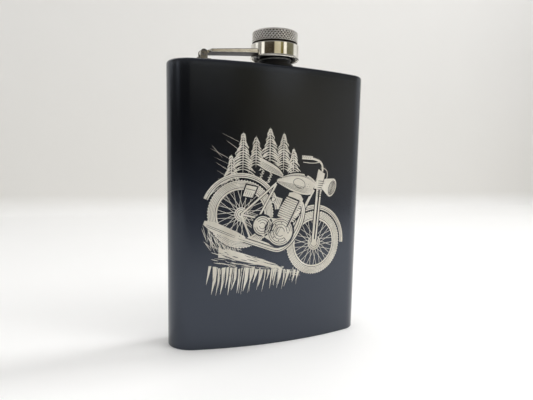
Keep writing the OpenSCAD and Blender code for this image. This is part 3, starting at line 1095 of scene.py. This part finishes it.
def draw_sky(ink, chance):
    """A ridge and thin streaks of cloud."""
    vary = chance.uniform
    ink.stroke(curve((-34, 66), (-30, 72), (-27, 71), (-22, 77)), 0.24, taper=0.8)
    for k in range(13):
        s = -33 + vary(0, 12)
        z = 94 - 2.3 * k + vary(-0.6, 0.6)
        ink.line((s, z), (s + vary(4, 10), z - vary(3, 6)), vary(0.07, 0.15), taper=0.9)


def draw_bank(ink, chance):
    """The bank below the wheels: a light slope, grass, and the broken face under its edge."""
    vary = chance.uniform
    slope = curve((-34, 47.5), (-24, 46), (-6, 39), (9, 33.5), 32)
    foot = curve((-34, 40.5), (-24, 40), (-8, 35), (8, 31.5), 32)
    light = slice(5, 28)
    ink.area([(s, z - 0.6) for s, z in slope[light]], [(s, z + 1.2) for s, z in foot[light]])
    ink.over()
    for k in range(60):
        i = chance.randint(0, 26)
        share = chance.random()
        s, z = part_way(slope[i], foot[i], share)
        long = vary(1, 7)
        ink.line((s, z), (s + long, z - long * vary(0.22, 0.42)), vary(0.12, 0.42),
                 "coat" if chance.random() < 0.75 else "bare", 0.9)
    ink.over()
    for k in range(90):
        share = chance.random()
        s = -34 + 15 * share + vary(-0.8, 0.8)
        z = 49 - 6 * share + vary(-4.5, 2)
        ink.line((s, z), (s + vary(-3.4, 0.4), z + vary(1.4, 8.5) * (1 - 0.6 * share)),
                 vary(0.1, 0.34), taper=0.9)
    for k in range(34):
        s = -31 + 38 * chance.random()
        z = 40.5 - 0.2 * (s + 31) + vary(-1.6, 0.6)
        ink.line((s, z), (s + vary(2, 8), z - vary(0.4, 1.5)), vary(0.12, 0.3), taper=0.9)
    s = -33
    while s < 9.5:
        wide = chance.choice((0.3, 0.5, 0.8, 1.2, 1.7))
        high = 37.2 - 0.07 * (s + 33) + vary(-0.7, 0.5)
        low = 25.6 + vary(-1.6, 4) + 0.02 * (s + 33)
        lean = vary(-1.6, -0.4)
        middle = (s + lean * 0.4 + vary(-0.3, 0.3), (high + low) / 2)
        ink.area([(s, high), middle, (s + lean, low)],
                 [(s + wide, high + vary(-0.3, 0.3)), (middle[0] + wide * vary(0.5, 0.9), middle[1]),
                  (s + lean + 0.08, low)])
        s += wide + chance.choice((0.12, 0.2, 0.35, 0.6))
    ink.over()
    for k in range(46):
        s = -33 + 42 * chance.random()
        z = 36.6 - 0.07 * (s + 33) - vary(0, 5)
        ink.line((s, z), (s - vary(0.2, 0.9), z - vary(1.5, 5)), vary(0.1, 0.26), "coat", 0.8)


def make_engraving():
    """A plain motorcycle going down a bank in front of pines: a generic design."""
    ink = Engraving()
    chance = random.Random(11)
    draw_sky(ink, chance)
    for foot, height in (((-23.4, 72), 13.5), ((5.4, 76), 13), ((-18.4, 77.5), 17.5), ((0.4, 78), 17.5),
                         ((-12.6, 80), 13.5), ((-6.2, 79.5), 18)):
        draw_pine(ink, foot, height, chance)
        ink.over()
    draw_bank(ink, chance)
    ink.over()
    ink.tilt = radians(21)
    for hub, drum in ((REAR_HUB, 3), (FRONT_HUB, 3.4)):
        draw_wheel(ink, hub, drum)
    ink.over()
    draw_fender(ink, REAR_HUB, 28, 178, 1.2)
    draw_fender(ink, FRONT_HUB, 18, 152, 1)
    ink.over()
    draw_frame(ink)
    ink.over()
    draw_engine(ink)
    ink.over()
    draw_front(ink)
    ink.done()


for make in (make_wall, make_shoulder, make_base, make_neck, make_bracket, make_pin, make_arm, make_collar,
             make_shell, make_insert, make_gasket, make_keeper, make_engraving):
    make()


# ---------------- stage

def make_stage():
    """Pale table top that turns up into a pale wall behind the flask."""
    front_y, bend_y, bend_r, height = -0.28, 0.56, 0.03, 2.0
    profile = [(front_y, 0), (bend_y, 0)]
    profile += [(bend_y + bend_r * sin(a), bend_r - bend_r * cos(a))
                for a in [pi / 2 * i / 16 for i in range(1, 17)]]
    profile += [(bend_y + bend_r, height)]
    mesh = bmesh.new()
    left = [mesh.verts.new((-0.75, y, z)) for y, z in profile]
    right = [mesh.verts.new((1.8, y, z)) for y, z in profile]
    for i in range(len(profile) - 1):
        mesh.faces.new([left[i], right[i], right[i + 1], left[i + 1]])
    floor = add_object("floor", finish_mesh(mesh, "floor", 40))
    look = Look("pale_floor", (0.88, 0.88, 0.875), 0.0, 0.55)
    cloud = look.noise(3, 3)
    table = look.mottle(cloud, (0.87, 0.87, 0.865), (0.89, 0.89, 0.885))
    wall = look.mottle(cloud, (0.83, 0.822, 0.8), (0.85, 0.842, 0.82))
    height = look.node("SeparateXYZ", look.where).outputs["Z"]
    look.shade(Base_Color=look.blend(look.between(height, 0, 1, 0.0, 0.03), table, wall))
    floor.data.materials.append(look.material)


def lamp(name, spot, aim, size, power):
    """A soft box at spot that shines at aim. Neither the camera nor polished metal shows it."""
    data = bpy.data.lights.new(name, "AREA")
    data.shape = "RECTANGLE"
    data.size, data.size_y = size
    data.energy = power
    made = add_object(name, data)
    made.location = spot
    made.rotation_euler = (Vector(aim) - Vector(spot)).to_track_quat("-Z", "Y").to_euler()
    made.visible_camera = False
    made.visible_glossy = False


# What stands round the flask: degrees to the right of straight in front, and its colour.
ROOM = [(-178, (0.5, 0.5, 0.49)), (-140, (0.4, 0.4, 0.39)), (-120, (0.05, 0.05, 0.048)),
        (-73, (0.02, 0.019, 0.018)), (-37, (0.012, 0.011, 0.01)), (-14, (0.01, 0.009, 0.007)),
        (-1, (0.03, 0.026, 0.02)), (7, (0.12, 0.1, 0.05)), (16, (0.27, 0.22, 0.13)),
        (26, (0.4, 0.34, 0.21)), (36, (0.47, 0.4, 0.26)), (46, (0.51, 0.45, 0.33)),
        (58, (0.53, 0.48, 0.38)), (70, (0.6, 0.56, 0.49)), (88, (0.6, 0.6, 0.59)),
        (178, (0.6, 0.6, 0.59))]

# What stands on the shelf at the height of the cap: openings, and dark things between them.
SHELF = [(-178, (0.75, 0.75, 0.74)), (-130, (1.1, 1.1, 1.08)), (-113, (1.1, 1.1, 1.08)),
         (-110, (0.34, 0.33, 0.31)), (-92, (0.3, 0.29, 0.27)), (-90, (1.3, 1.28, 1.22)),
         (-76, (1.3, 1.28, 1.22)), (-73, (0.07, 0.055, 0.035)), (-28, (0.035, 0.027, 0.018)),
         (-24, (0.62, 0.56, 0.4)), (2, (0.78, 0.72, 0.55)), (6, (0.26, 0.22, 0.07)),
         (17, (0.17, 0.14, 0.05)), (20, (1.25, 1.2, 1.08)), (32, (1.25, 1.2, 1.08)),
         (36, (0.16, 0.15, 0.09)), (72, (0.22, 0.21, 0.15)), (82, (0.95, 0.95, 0.92)),
         (130, (0.85, 0.85, 0.84)), (178, (0.75, 0.75, 0.74))]


def make_room():
    """The world: a dim warm room with a lit shelf, and a plain pale ground for the camera."""
    scene.world = bpy.data.worlds.new("room")
    scene.world.use_nodes = True
    room = Nodes(scene.world.node_tree)
    spot = room.node("TexCoord").outputs["Generated"]
    turn = room.node("TexGradient", spot)
    turn.gradient_type = "RADIAL"
    height = room.node("SeparateXYZ", spot).outputs["Z"]

    def ramp(colours):
        made = room.node("ValToRGB", turn.outputs["Fac"])
        stops = sorted(((0.25 + degrees / 360) % 1, colour) for degrees, colour in colours)
        for i, (where, colour) in enumerate(stops):
            stop = made.color_ramp.elements[i] if i < 2 else made.color_ramp.elements.new(where)
            stop.position = where
            stop.color = (*colour, 1)
        return made.outputs["Color"]

    light = (0.42, 0.44, 0.5)
    for low, high, above in ((-0.17, 0.02, ramp(ROOM)), (0.178, 0.19, ramp(SHELF)),
                             (0.238, 0.25, (0.55, 0.53, 0.48)), (0.3, 0.34, (0.2, 0.19, 0.18)),
                             (0.42, 0.9, (0.34, 0.34, 0.34))):
        light = room.blend(room.between(height, 0, 1, low, high), light, above)
    seen = room.node("LightPath").outputs["Is Camera Ray"]
    back = room.tree.nodes["Background"]
    room.fill(back.inputs["Color"], room.blend(seen, light, (0.74, 0.73, 0.71)))
    back.inputs["Strength"].default_value = 1.0


def make_light():
    """Soft boxes over the table, to its right, at the wall and at the table in front."""
    lamp("top_box", (-0.3, -0.15, 1.3), (-0.1, 0.05, 0.0), (1.8, 1.4), 9.2)
    lamp("right_box", (0.75, 0.06, 1.25), (0, 0, 0.03), (0.28, 0.28), 7.5)
    lamp("wall_box", (1.0, -0.35, 0.9), (1.0, 0.59, 0.3), (0.6, 0.6), 1.5)
    lamp("floor_box", (0.22, -0.26, 0.45), (0.22, -0.2, 0.0), (0.2, 0.2), 0.9)


make_stage()
make_room()
make_light()
